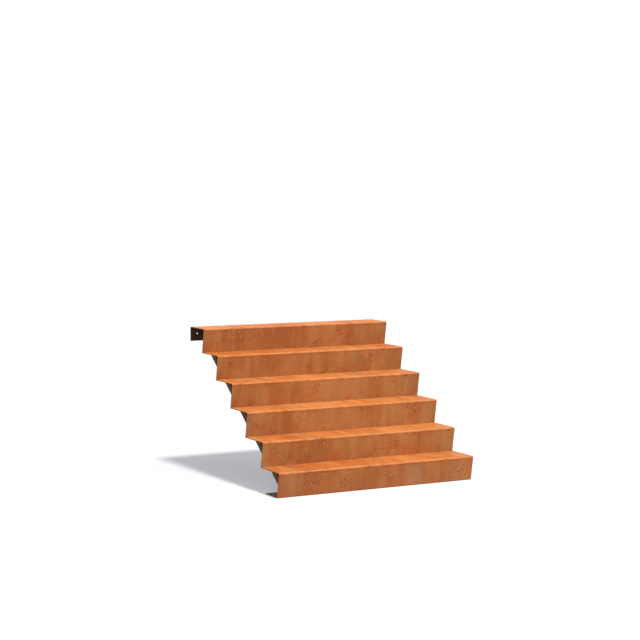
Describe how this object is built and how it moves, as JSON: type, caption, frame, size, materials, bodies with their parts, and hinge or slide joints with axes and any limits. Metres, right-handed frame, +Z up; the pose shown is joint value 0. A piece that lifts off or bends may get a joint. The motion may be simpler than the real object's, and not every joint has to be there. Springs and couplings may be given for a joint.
{
  "type": "weathering steel garden staircase",
  "caption": "Straight open-backed garden stair of folded weathering steel steps, with gussets under the treads, a base flange and a drilled flange that hangs it on a wall.",
  "frame": {"origin": "mid-width on the wall face of the wall flange, level with its bolt holes", "axes": "+X across the treads, to the right of someone who climbs; +Y horizontally into the wall; +Z up"},
  "size_m": [1.5, 1.4411, 1.0199],
  "materials": {
    "folded_plate": "matt orange-brown rust patina of weathering steel, mottled and streaked",
    "gusset_plate": "matt brown rust patina of weathering steel",
    "weld_bead": "dark brown rusted weld metal"
  },
  "bodies": {
    "root": {"step_1": "folded_plate", "step_2": "folded_plate", "step_3": "folded_plate", "step_4": "folded_plate", "step_5": "folded_plate", "step_6": "folded_plate", "seam_weld_1": "weld_bead", "seam_weld_2": "weld_bead", "seam_weld_3": "weld_bead", "seam_weld_4": "weld_bead", "seam_weld_5": "weld_bead", "gusset_left_1": "gusset_plate", "gusset_left_2": "gusset_plate", "gusset_left_3": "gusset_plate", "gusset_left_4": "gusset_plate", "gusset_left_5": "gusset_plate", "gusset_right_1": "gusset_plate", "gusset_right_2": "gusset_plate", "gusset_right_3": "gusset_plate", "gusset_right_4": "gusset_plate", "gusset_right_5": "gusset_plate", "gusset_weld_left_1": "weld_bead", "gusset_weld_left_2": "weld_bead", "gusset_weld_left_3": "weld_bead", "gusset_weld_left_4": "weld_bead", "gusset_weld_left_5": "weld_bead", "gusset_weld_right_1": "weld_bead", "gusset_weld_right_2": "weld_bead", "gusset_weld_right_3": "weld_bead", "gusset_weld_right_4": "weld_bead", "gusset_weld_right_5": "weld_bead"}
  },
  "joints": []
}
